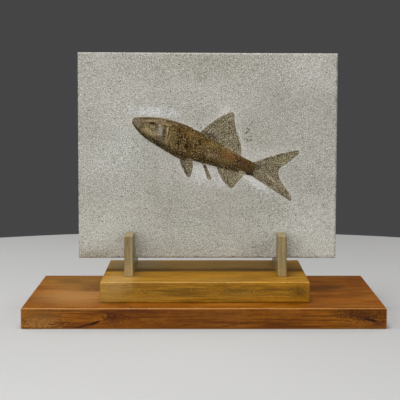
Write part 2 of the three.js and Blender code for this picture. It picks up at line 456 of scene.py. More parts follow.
# each knot and mark is what patch takes; topMarks reach back over the top and give their own y and depth
baseLook = {
    "front": -97,  # y of its front, where its knots and marks are
    "grainAxis": 0,
    "heart": (0.0, 30.0, -60.0),
    "ringWidth": 6.0,
    "wander": 2.8,
    "ripple": 1.2,
    "ringDepth": 0.38,
    "cloudDepth": 0.45,
    "dark": (0.11, 0.029, 0.001),
    "light": (0.27, 0.092, 0.004),
    "late": (0.078, 0.019, 0.001),
    "glow": (0.28, 0.082, 0.003),
    "cloud": (0.31, 0.118, 0.014),
    "pore": (0.04, 0.011, 0.002),
    "edge": (0.48, 0.245, 0.065),
    "edgeWearAndHighlight": 0.75,
    "varnish": 0.12,
    "shine": 0.06,
    "satin": 0.34,
    "grainDepth": 0.1,
    # the strength of a knot is how far it bends the grain
    "knots": [
        (-86, 12, 16, 9, 0, None, -4.0),
        (148, 8, 22, 9, 0, None, 3.5),
        (-30, 2, 26, 6, 0, None, 2.0),
    ],
    "marks": [
        (-110, 3.4, 12, 0.9, 17, (0.05, 0.013, 0.003), 1.0, 1.6),
        (-101, 5.6, 5.5, 1.1, 20, (0.01, 0.003, 0.001), 1.0, 0.8),
        (-85, 12.4, 3.4, 2.4, 0, (0.06, 0.014, 0.002), 0.8, 2.4, 0.45, 0.5),
        (-84, 12, 10, 4.5, 0, (0.05, 0.01, 0.002), 0.55, 6),
        (-70, 10.5, 10, 1.2, -4, (0.08, 0.014, 0.002), 0.6),
        (-45, 15, 12, 0.9, 2, (0.07, 0.016, 0.002), 0.5),
        (20, 6, 22, 1.1, -2, (0.07, 0.016, 0.002), 0.5),
        (25, 3.5, 16, 1.0, 8, (0.06, 0.013, 0.002), 0.5),
        (95, 13, 20, 1.0, -3, (0.07, 0.016, 0.002), 0.45),
        (154, 8.4, 6, 1.4, -14, (0.02, 0.006, 0.003), 1.0, 1.4),
        (146, 12, 18, 4.5, -6, (0.035, 0.01, 0.003), 0.65, 6),
        (163, 4, 5, 2.5, 0, (0.1, 0.02, 0.014), 0.5),
        (-150, 8, 15, 7, 0, (0.33, 0.16, 0.04), 0.6, 6),
        (-150, 13, 14, 4, 0, (0.06, 0.018, 0.003), 0.5, 6),
        (0, 10, 70, 16, 0, (0.085, 0.02, 0.001), 0.4, 2.4, 0.8),
    ],
    "topMarks": [
        # lighter back of the base's top on the left: partly the wood's colour, partly painted light from
        # the left
        (-125, 19, 46, 9, 0, (0.25, 0.15, 0.04), 0.45, 1, 0.8, 0.0, 62, 34),
        (-139, 19, 14, 9, 0, (0.11, 0.055, 0.012), 0.6, 2.4, 0.45, 0.0, 60, 14),
        # lighter front of the base's top on the left: partly the wood's colour, partly painted light from
        # the left
        (-125, 19, 34, 9, 0, (0.42, 0.23, 0.075), 0.5, 1, 0.8, 0.0, -25, 45),
        (120, 19, 26, 9, 0, (0.1, 0.034, 0.003), 0.5, 2.4, 0.45, 0.0, 20, 12),
    ],
}

riserLook = {
    "front": -69,
    "grainAxis": 0,
    "heart": (0.0, -20.0, 120.0),
    "ringWidth": 9.0,
    "wander": 3.6,
    "ripple": 1.6,
    "ringDepth": 0.5,
    "cloudDepth": 0.25,
    "dark": (0.22, 0.098, 0.004),
    "light": (0.37, 0.185, 0.014),
    "late": (0.15, 0.066, 0.003),
    "glow": (0.36, 0.165, 0.007),
    "cloud": (0.34, 0.185, 0.026),
    "pore": (0.09, 0.038, 0.004),
    "edge": (0.44, 0.25, 0.055),
    "edgeWearAndHighlight": 0.34,
    "varnish": 0.15,
    "shine": 0.06,
    "satin": 0.32,
    "grainDepth": 0.08,
    "knots": [
        (34, 30, 26, 9, 0, None, 3.5),
        (92, 29, 14, 9, 0, None, -4.0),
        (-50, 27, 30, 8, 0, None, -2.5),
    ],
    "marks": [
        (-76, 33, 14, 2.4, -4, (0.085, 0.05, 0.008), 0.4, 5),
        (-30, 31.5, 26, 1.6, 2, (0.1, 0.055, 0.006), 0.5, 4),
        (-14, 28.5, 18, 1.2, 6, (0.11, 0.055, 0.006), 0.4, 3),
        (33, 31, 13, 2.2, 0, (0.08, 0.045, 0.006), 0.5, 4),
        (62, 32, 14, 1.4, 4, (0.1, 0.05, 0.006), 0.45, 4),
        (90, 31, 8, 2.6, 0, (0.06, 0.03, 0.004), 0.6, 5),
        (70, 23, 30, 2.6, 0, (0.4, 0.165, 0.01), 0.4),
        (-60, 23.5, 34, 2.6, 0, (0.42, 0.22, 0.03), 0.4),
        # lighter left end of the riser's front: partly the wood's colour, partly painted light from the
        # left
        (-92, 30, 16, 12, 0, (0.44, 0.27, 0.07), 0.45, 2.4, 0.8),
    ],
    "topMarks": [
        # lighter left end of the riser's top: partly the wood's colour, partly painted light from the left
        (-80, 39, 14, 9, 0, (0.42, 0.26, 0.09), 0.5, 2.4, 0.8, 0.0, -45),
        # painted shadow of the slab on the riser's top behind it, with a painted grey sheen
        (15, 39, 95, 9, 0, (0.14, 0.098, 0.036), 0.6, 1, 0.45, 0.0, 42, 36),
        # painted light and grey sheen on the left of the riser's top behind the slab
        (-72, 39, 26, 9, 0, (0.21, 0.17, 0.095), 0.7, 1, 0.8, 0.0, 42, 34),
    ],
}

boards = {
    "base": {"node": "base_board", "slot": "base_wood", "look": baseLook, "radius": 1.3, "step": 3.0},
    "riser": {"node": "riser_board", "slot": "riser_wood", "look": riserLook, "radius": 1.3, "step": 2.5},
}
boardWear = {"ripple": 0.06, "rippleSize": 14, "knock": 0.9, "knockSize": 3.5}  # depths and sizes


def makeBoards():
    for name, board in boards.items():
        low, high = boxOf(board["node"])
        inner, outward, faces, wear = easedBox(low, high, board["radius"], board["step"])
        ripple = 0.5 + 0.5 * noiseAt(inner * (0.3, 1, 1), boardWear["rippleSize"])
        knocks = np.clip(noiseAt(inner + outward, boardWear["knockSize"], 7.3) - 0.35, 0, 1) * wear
        lost = boardWear["ripple"] * ripple + boardWear["knock"] * knocks
        points = inner + outward * (board["radius"] - lost)[:, None]
        finish = woodFinish(board["slot"], board["look"])
        addPiece(name, board["node"], points, faces, finish, {"wear": wear})


makeBoards()


# brackets: slotted plates on edge

bracketLook = {
    "front": 0,
    "grainAxis": 2,
    "heart": (30.0, -60.0, 0.0),
    "ringWidth": 5.0,
    "wander": 1.6,
    "ripple": 0.6,
    "ringDepth": 0.35,
    "cloudDepth": 0.3,
    "dark": (0.17, 0.128, 0.056),
    "light": (0.32, 0.255, 0.13),
    "late": (0.14, 0.1, 0.042),
    "glow": (0.29, 0.215, 0.1),
    "cloud": (0.3, 0.25, 0.14),
    "pore": (0.1, 0.07, 0.03),
    "edge": (0.46, 0.38, 0.22),
    "edgeWearAndHighlight": 0.8,
    "varnish": 0.12,
    "shine": 0.1,
    "satin": 0.36,
    "grainDepth": 0.06,
    "knots": [],
    "marks": [],
    "topMarks": [
        (-72.5, 43, 9, 8, 0, (0.44, 0.3, 0.12), 0.5, 2.4, 0.7, 0.0, -45),
        (76, 43, 9, 8, 0, (0.4, 0.27, 0.1), 0.4, 2.4, 0.7, 0.0, -45),
    ],
}

bracketShape = {"prongRise": 26.0, "rearThickness": 15.0, "slotPlay": 0.25, "edge": 0.6}


def makeBracket(name, node, finish):
    low, high = boxOf(node)
    slabLow, slabHigh = boxOf("stone_slab")
    foot = slabLow[2]
    slotFront = slabLow[1] - bracketShape["slotPlay"]
    slotRear = slabHigh[1] + bracketShape["slotPlay"]
    profile = [
        (low[1], low[2]),
        (high[1], low[2]),
        (high[1], foot),
        (slotRear + bracketShape["rearThickness"], high[2]),
        (slotRear, high[2]),
        (slotRear, foot),
        (slotFront, foot),
        (slotFront, foot + bracketShape["prongRise"]),
        (low[1], foot + bracketShape["prongRise"]),
    ]
    work = bmesh.new()
    side = work.faces.new([work.verts.new((low[0], y, z)) for y, z in profile])
    grown = bmesh.ops.extrude_face_region(work, geom=[side])["geom"]
    moved = [item for item in grown if isinstance(item, bmesh.types.BMVert)]
    bmesh.ops.translate(work, verts=moved, vec=(high[0] - low[0], 0, 0))
    bmesh.ops.recalc_face_normals(work, faces=work.faces)
    bmesh.ops.bevel(
        work, geom=list(work.edges), offset=bracketShape["edge"], segments=3, profile=0.5, affect="EDGES"
    )
    points = [tuple(vert.co) for vert in work.verts]
    faces = [[vert.index for vert in face.verts] for face in work.faces]
    work.free()
    piece = addPiece(name, node, points, faces, finish)
    piece.modifiers.new("evenNormals", "WEIGHTED_NORMAL").keep_sharp = True


bracketFinish = woodFinish("bracket_wood", bracketLook)
makeBracket("leftBracket", "left_bracket", bracketFinish)
makeBracket("rightBracket", "right_bracket", bracketFinish)


# fish: outlines in millimetres from the middle of the slab's bottom edge, seen from the front

fish = {
    "slope": 22.0,  # the body runs down to the right by this many degrees
    "back": [
        (-73.6, 134.9), (-72, 139), (-63, 139.6), (-54, 139.6), (-48, 139), (-42, 138.2), (-36, 136.9),
        (-29.5, 135), (-23.5, 133), (-17.5, 130.7), (-12, 127.7), (-6, 124.7), (2, 120), (11.5, 114.4),
        (26.5, 105.2), (37, 99.4), (48.5, 94),
    ],
    "belly": [
        (-73.6, 133.7), (-69.5, 127.4), (-61.5, 119.3), (-48.5, 110.7), (-33.5, 101.7), (-23.5, 97.2),
        (-11.5, 95.8), (6.5, 91.2), (24.5, 86.6), (36, 83.4), (45.5, 81),
    ],
    "step": 0.5,  # millimetres between points
    "rim": 0.5,  # height of the body at its outline
    "bodyRise": 2.0,
    "swell": (0.12, 0.8),  # the share of a half wave at the snout, and how much of it the body spans
    # the gill's edge; the head's relief fades out over headFade, measured from there
    "gill": {"x": -28.5, "z": 119, "bow": 0.018, "width": 1.5, "step": 0.4, "headFade": (-2, 4)},
    "groove": {"behind": 2.6, "halfWidth": 1.4, "depth": 0.4},  # behind the gill's edge
    "eye": {"centre": (-53.3, 131.2), "radius": 3.8, "rimRise": 0.4, "rimWidth": 0.8},
    "socket": {"fade": (2, 4), "depth": 0.45},  # the hollow inside the eye's ring
    "scales": {"length": 1.3, "height": 1.2, "rise": 0.08},
    "rough": {"size": 1.5, "rise": 0.36},
    "lumps": {"size": 4.0, "rise": 0.34},
    "finRise": 0.2,
    "rayRise": 0.28,
    "stoneShare": 0.6,  # how much of the stone's relief shows through the fins
    "buried": 0.9,  # how far its edges run down into the stone
    "backDepth": 2.0,
    "skirt": 1.4,  # how far past its outline it runs on, under the stone
    "jagged": {"body": 0.4, "dorsal": 0.35, "anal": 0.35, "others": 0.2},  # how deep its edges are broken
    "frayed": {"at": -13, "above": 115, "reach": 11, "depth": 1.3},  # where the back's edge has crumbled
}

# each fin's rays run from base to margin, in clockwise order round the fish
fins = {
    "dorsal": {
        "base": [(-6.8, 124.7), (6.5, 116.5), (20, 108), (33.2, 100.4)],
        "margin": [(22, 144.5), (26.6, 143.4), (27.4, 133.4), (30, 122.4), (32.9, 114.3), (33.8, 105.8)],
        "bow": (1.8, 0),
        "rays": 14,
    },
    "caudal": {
        "base": [(43, 94), (44.5, 89), (41, 83.4)],
        "margin": [
            (90.2, 107.4), (89.4, 102.8), (78.4, 94), (71.8, 89.4), (70.3, 84), (72.8, 76.4),
            (83, 61.8), (81.8, 56.6),
        ],
        "bow": (1.6, 0),
        "rays": 18,
    },
    "anal": {
        "base": [(36.5, 86), (22, 90), (8.8, 92.6)],
        "margin": [(36.2, 82.6), (32, 78.2), (27, 72), (24.2, 69.3), (22, 69.9)],
        "bow": (0, -2.4),
        "rays": 9,
    },
    "pelvic": {
        "base": [(-3.6, 97), (-6.8, 97.5)],
        "margin": [(4.1, 80), (3.6, 77.9), (1.6, 77.8), (-0.4, 79.6)],
        "bow": (0.4, 0.4),
        "rays": 3,
    },
    "pectoral": {
        "base": [(-15, 99.5), (-27.6, 101)],
        "margin": [(-14.2, 96), (-13.8, 90.4), (-15.5, 83.8), (-17.4, 80.2), (-20.4, 81.6)],
        "bow": (0, -1.3),
        "rays": 6,
    },
}

# ridges and grooves on the head: a line, its half width and its height
headLines = [
    ([(-38.7, 128.5), (-39.1, 124.3), (-39.8, 119.8), (-42, 114.9)], 0.8, 0.4),
    ([(-35, 125.8), (-36.4, 121.3), (-38.3, 117.5), (-40.6, 113.8)], 0.7, 0.25),
    ([(-73, 133.8), (-68, 131), (-61, 128.2)], 0.6, -0.35),
    ([(-61.5, 122), (-53, 116.6), (-45.8, 113.4)], 0.8, -0.25),
    ([(-68, 136.8), (-55, 136.6), (-42, 134.6)], 0.8, -0.2),
]

slabLow, slabHigh = boxOf("stone_slab")
slabShape = {
    "length": 254.0,
    "leftHeight": 202.5,
    "rightHeight": 201.25,
    "lean": 0.6,
    "columns": 282,
    "rows": 225,
    "sideRows": 9,
    "backEvery": 3,  # points of the face to one of the back
    "arris": 1.1,
    "topArris": 0.55,  # how round the top arris is beside the others
    "leastWear": 0.45,
    "chips": {"size": 6.0, "share": 2.4},
    "nicks": {"size": 2.2, "share": 0.5},
    "proud": 0.12,  # how far the face stands before its relief is taken off
    "haloDepth": 0.1,  # how much lower it is beside the fish
    "halo": (2.0, 10.0),  # how far from the fish the halo begins to fade and ends
    "lip": (0.5, 2.4),  # the same for the pale line round the fish
    "sawn": {"size": 25, "depth": 0.15, "relief": 0.4, "least": 0.02},
    "split": {"depth": 0.5, "bumps": ((17, 0.45, 4.0), (5, 0.3, 8.0))},  # size, height and shift
}
slabMiddle = slabLow[0] + slabShape["length"] / 2
slabFront = slabLow[1]


def finLattice(fin, columns, rows):
    # points of a fin, from its base to its margin, ray by ray
    root = smoothCurve(fin["base"], columns)
    margin = smoothCurve(fin["margin"], columns)
    reach = margin - root
    sideways = np.column_stack([-reach[:, 1], reach[:, 0]]) / np.hypot(*reach.T)[:, None]
    bow = np.linspace(*fin["bow"], columns)
    outward = np.linspace(0, 1, rows)
    bend = bow[:, None] * np.sin(math.pi * outward)[None, :]
    return root[:, None] + reach[:, None] * outward[None, :, None] + sideways[:, None] * bend[:, :, None]


def finOutline(lattice):
    return np.vstack([lattice[:, 0], lattice[-1, 1:], lattice[-2::-1, -1], lattice[0, -2:0:-1]])


outlines = {"body": np.vstack([smoothCurve(fish["back"], 90), smoothCurve(fish["belly"], 90)[::-1]])}
for finName, finShape in fins.items():
    outlines[finName] = finOutline(finLattice(finShape, columns=40, rows=12))
outlinePoints = np.vstack(list(outlines.values()))


stoneGrain = {
    "bumps": ((2.6, 0.13), (1.4, 0.09), (34.0, 0.22)),  # size of a bump and its height
    "pitSize": 2.9,
    "pitDepth": 0.22,
}


def stoneRelief(points):
    relief = -stoneGrain["pitDepth"] * pitsAt(points, stoneGrain["pitSize"])
    for size, height in stoneGrain["bumps"]:
        relief = relief + height * noiseAt(points, size, size)
    return relief


def nearFish(x, z, low, high):
    # 1 beside the fish, 0 from high millimetres away
    left, foot = outlinePoints.min(0) - high
    right, top = outlinePoints.max(0) + high
    box = (x > left) & (x < right) & (z > foot) & (z < top)
    depth = np.max([depthInside(outline, x[box], z[box]) for outline in outlines.values()], axis=0)
    near = np.zeros(x.shape)
    near[box] = 1 - smoothStep(-depth, low, high)
    return near


def slabPlace(share, rise):
    # where a point of the face is, for its shares of the way along and up
    x = -slabShape["length"] / 2 + slabShape["length"] * share + slabShape["lean"] * rise
    z = rise * (slabShape["leftHeight"] * (1 - share) + slabShape["rightHeight"] * share)
    return x, z


# marks on the stone's face, as patch takes them: x and z from the middle of the slab's bottom edge, half
# width, half height, tilt, colour, strength, ragged, soft and ring
stoneMarks = {
    "smudge": (-7, 177.5, 4.6, 4.2, 0, (0.2, 0.21, 0.15), 0.55, 4),
    "swirl": (-7, 81, 4.2, 4.6, 0, (0.6, 0.585, 0.54), 0.7, 2.4, 0.45, 0.35),
    "fin tip": (17.5, 145.6, 7, 3.2, 28, (0.62, 0.6, 0.54), 0.7, 4),
    "over head": (-53, 145.0, 23, 4.0, -3, (0.55, 0.555, 0.56), 0.85, 4),
    "under belly": (-5, 85, 12, 8, -15, (0.56, 0.555, 0.545), 0.75, 4),
    "by anal fin": (12.5, 77, 5, 6, 0, (0.53, 0.52, 0.54), 0.7, 4),
    "under tail": (48, 75, 16, 5.5, -36, (0.6, 0.595, 0.59), 0.85, 4),
    "over tail": (56, 104.5, 18, 3.6, 14, (0.54, 0.52, 0.47), 0.6, 4),
    "front": (-80, 118, 6, 9, 30, (0.52, 0.51, 0.48), 0.35, 4),
    "by stem": (40, 80.5, 9, 2.6, -26, (0.6, 0.59, 0.56), 0.7, 4),
    "behind dorsal": (35.5, 112, 1.6, 11, 14, (0.54, 0.51, 0.47), 0.4, 5),
    "lilac field": (13.5, 80, 3.5, 6, 10, (0.5, 0.47, 0.52), 0.6, 4),
    # painted light: lighter lower right corner, as light bounced from the boards below
    "corner": (108, 16, 42, 34, 0, (0.61, 0.615, 0.56), 0.75, 2.4, 0.8),
    # painted shade: darker middle along the top, where the side lights reach less
    "top": (2, 194, 46, 16, 0, (0.27, 0.26, 0.21), 0.75, 2.4, 0.8),
    # painted light: lighter foot, as light bounced from the boards below
    "foot": (0, 20, 60, 16, 0, (0.45, 0.47, 0.41), 0.45, 2.4, 0.8),
    # painted light: lighter top right corner, from the side light
    "top corner": (104, 186, 26, 24, 0, (0.52, 0.51, 0.47), 0.4, 2.4, 0.8),
    "grey field": (-90, 100, 30, 30, 30, (0.46, 0.48, 0.45), 0.4, 2.4, 0.8),
    "dull field": (100, 120, 22, 36, 0, (0.3, 0.295, 0.26), 0.3, 2.4, 0.8),
    "dark field": (52, 126, 16, 18, 0, (0.29, 0.28, 0.23), 0.45, 2.4, 0.8),
    # painted light: lighter lower left corner, as light bounced from the boards below
    "left corner": (-104, 26, 30, 24, 0, (0.54, 0.56, 0.5), 0.6, 2.4, 0.8),
    "stain": (-112, 4, 15, 4, 0, (0.22, 0.21, 0.13), 0.6, 4),
}

# dark flecks that lie over the grain of the stone: a loop, a hook and dots behind the dorsal fin
stoneStains = {
    "loop side": (39.9, 127.8, 2.2, 0.7, -45, (0.06, 0.05, 0.03), 0.7, 0.8),
    "loop foot": (39.1, 124.6, 2.4, 0.65, 39, (0.06, 0.05, 0.03), 0.65, 0.8),
    "loop end": (38.7, 124.3, 0.85, 0.75, 0, (0.02, 0.016, 0.01), 0.7, 0.8),
    "hook top": (36.9, 118.1, 2.1, 0.7, -8, (0.07, 0.055, 0.035), 0.6, 0.8),
    "hook side": (39.8, 116.5, 1.9, 0.7, -55, (0.06, 0.05, 0.03), 0.7, 0.8),
    "hook dot": (42.8, 116.9, 0.85, 1.3, 0, (0.05, 0.042, 0.03), 0.7, 0.8),
    "dash": (42.7, 120.4, 1.8, 0.6, 0, (0.08, 0.068, 0.05), 0.55, 0.8),
    "upper dot": (44.3, 134.3, 0.8, 0.8, 0, (0.05, 0.042, 0.03), 0.7, 0.8),
}


def onSlab(marks):
    placed = [patch(*values) for values in marks.values()]
    for mark in placed:
        mark["centre"] = tuple(a + b for a, b in zip(mark["centre"], (slabMiddle, slabFront, slabLow[2])))
    return placed


stoneLook = {
    # size of each noise in millimetres, its detail, its roughness and its shift
    "grains": {
        "fine": (0.76, 1),
        "coarse": (1.2, 1, 0.5, 11.0),
        "clump": (2.8, 2, 0.5, 17.0),
        "blotch": (10, 3, 0.55, 5.0),
        "warm": (50, 3, 0.5, 21.0),
        "speck": (1.5, 0, 0.5, 31.0),
        "rough": (3.2, 3),
    },
    "ground": (0.35, 0.345, 0.3),
    # fields, flecks and specks are rows as flecked takes them
    "fields": [
        ("warm", 0.4, 0.6, 1.0, (0.4, 0.388, 0.345)),
        ("blotch", 0.45, 0.65, 0.25, (0.3, 0.295, 0.25)),
        ("clump", 0.5, 0.68, 0.15, (0.23, 0.22, 0.17), "quiet"),
        ("blotch", 0.3, 0.7, 0.4, (0.48, 0.475, 0.44), "halo"),
    ],
    "flecks": [
        ("coarse", 0.5, 0.33, 0.34, (0.155, 0.14, 0.1), "quiet"),
        ("coarse", 0.5, 0.66, 0.3, (0.64, 0.63, 0.6), "quiet"),
        ("fine", 0.47, 0.33, 0.7, (0.11, 0.095, 0.06)),
        ("fine", 0.54, 0.67, 0.55, (0.78, 0.775, 0.75)),
        ("clump", 0.35, 0.6, 0.4, (0.6, 0.575, 0.49), "lip"),
    ],
    # colour of the pits: painted shade, darker where the face lies lowest
    "pit": (0.2, 0.185, 0.145),
    "specks": [("speck", 0.75, 0.81, 0.7, (0.1, 0.09, 0.06))],
}


def limestoneFinish():
    f = Finish("limestone", Roughness=0.9, Specular_IOR_Level=0.15)
    maps = f.grains(stoneLook["grains"])
    for name in ("pit", "halo", "lip", "face"):
        maps[name] = f.attribute(name)
    maps["quiet"] = 1 - maps["halo"] * 0.45
    colour = f.flecked(stoneLook["ground"], stoneLook["fields"], maps)
    colour = f.dabbed(colour, onSlab(stoneMarks), maps["rough"], maps["face"])
    colour = f.flecked(colour, stoneLook["flecks"], maps)
    # painted shade in the pits of the face
    colour = f.mix(maps["pit"] * 0.3, colour, stoneLook["pit"])
    colour = f.flecked(colour, stoneLook["specks"], maps)
    colour = f.dabbed(colour, onSlab(stoneStains), maps["coarse"], maps["face"])
    f.feed("Base Color", colour)
    f.feed("Roughness", 0.82 + maps["coarse"] * 0.15)
    f.feed("Normal", f.bump(maps["fine"] * 0.5 + maps["coarse"] * 0.5, 0.6))
    return f


def slabMesh(thickness):
    # a fine grid for the face, rings round the sides, and a coarser grid for the back
    share, rise = [np.linspace(0, 1, slabShape[count] + 1) for count in ("columns", "rows")]
    share, rise = np.meshgrid(share, rise, indexing="ij")
    x, z = slabPlace(share.ravel(), rise.ravel())
    face = np.arange(x.size).reshape(share.shape)
    layers = [np.column_stack([x, np.zeros(x.size), z])]
    faces = gridFaces(face).tolist()
    ring = gridEdge(face)
    previous = ring
    for row in range(1, slabShape["sideRows"]):
        y = np.full(ring.size, thickness * row / slabShape["sideRows"])
        layers.append(np.column_stack([x[ring], y, z[ring]]))
        current = x.size + (row - 1) * ring.size + np.arange(ring.size)
        faces += np.column_stack([np.roll(previous, -1), previous, current, np.roll(current, -1)]).tolist()
        previous = current
    every = slabShape["backEvery"]
    share, rise = share[::every, ::every], rise[::every, ::every]
    back = previous[-1] + 1 + np.arange(share.size).reshape(share.shape)
    x, z = slabPlace(share.ravel(), rise.ravel())
    layers.append(np.column_stack([x, np.full(x.size, thickness), z]))
    faces += gridFaces(back)[:, ::-1].tolist()
    side = previous.tolist()
    edge = gridEdge(back).tolist()
    for number, (here, after) in enumerate(zip(edge, edge[1:] + edge[:1])):
        a, b, c, d = [side[(every * number + step) % len(side)] for step in range(every + 1)]
        faces += [(b, a, here), (c, b, here, after), (d, c, after)]
    return np.vstack(layers), faces


def makeSlab(finish):
    thickness = slabHigh[1] - slabLow[1]
    points, faces = slabMesh(thickness)
    x, y, z = points.T.copy()

    # distances to the left, right, bottom and top edges, and to the nearer of the face and the back
    width = slabShape["length"]
    left = x + width / 2 - slabShape["lean"] * z / slabShape["leftHeight"]
    top = slabShape["leftHeight"] + (slabShape["rightHeight"] - slabShape["leftHeight"]) * left / width
    edges = np.column_stack([left, width - left, z, top - z])
    toEdge = edges.min(1)
    toFace = np.minimum(y, thickness - y)
    inward = np.zeros_like(points)
    for axis, (low, high) in ((0, (0, 1)), (2, (2, 3))):
        nearest = np.minimum(edges[:, low], edges[:, high]) <= toEdge
        inward[:, axis] = np.where(edges[:, low] <= edges[:, high], 1, -1) * nearest
    inward[:, 1] = np.where(y <= thickness - y, 1, -1)

    # worn and chipped arrises
    chips, nicks = slabShape["chips"], slabShape["nicks"]
    chipped = np.clip(noiseAt(points, chips["size"], 3.1) - 0.1, 0, 1) * chips["share"]
    nicked = (noiseAt(points, nicks["size"], 9.7) + 1) * nicks["share"]
    wear = slabShape["leastWear"] + (chipped + nicked)
    radius = slabShape["arris"] * wear * np.where(edges[:, 3] < 3, slabShape["topArris"], 1)
    corner = np.clip(1 - toEdge / radius, 0, 1) * np.clip(1 - toFace / radius, 0, 1)

    # the relief of the face, the split back and the sawn sides
    relief = stoneRelief(points)
    onFront = (y == 0) & (toEdge > 0)
    onBack = (y == thickness) & (toEdge > 0)
    onSide = toEdge == 0
    halo = nearFish(x, z, *slabShape["halo"]) * onFront
    lip = nearFish(x, z, *slabShape["lip"]) * onFront
    lowered = np.where(onFront, relief * (1 - 0.55 * halo) - slabShape["haloDepth"] * halo, 0)
    points[:, 1] += -lowered + slabShape["proud"] * onFront
    split = -slabShape["split"]["depth"]
    for size, height, shift in slabShape["split"]["bumps"]:
        split = split - height * noiseAt(points, size, shift)
    points[:, 1] += np.where(onBack, split, 0)
    sawn = slabShape["sawn"]
    sideways = sawn["depth"] * (1 + noiseAt(points, sawn["size"], 2.0)) + sawn["relief"] * relief
    points[:, [0, 2]] += inward[:, [0, 2]] * (np.maximum(sideways, sawn["least"]) * onSide)[:, None]
    points += inward * (corner * radius * 0.5)[:, None]
    # how low the face lies, for the painted shade in its pits
    pit = np.clip(-relief / 0.3, 0, 1) * (1 - 0.6 * halo)
    points += (slabMiddle, slabFront, slabLow[2])
    values = {"halo": halo, "lip": lip, "pit": pit, "face": y == 0}
    addPiece("slab", "stone_slab", points, faces, finish, values)


makeSlab(limestoneFinish())


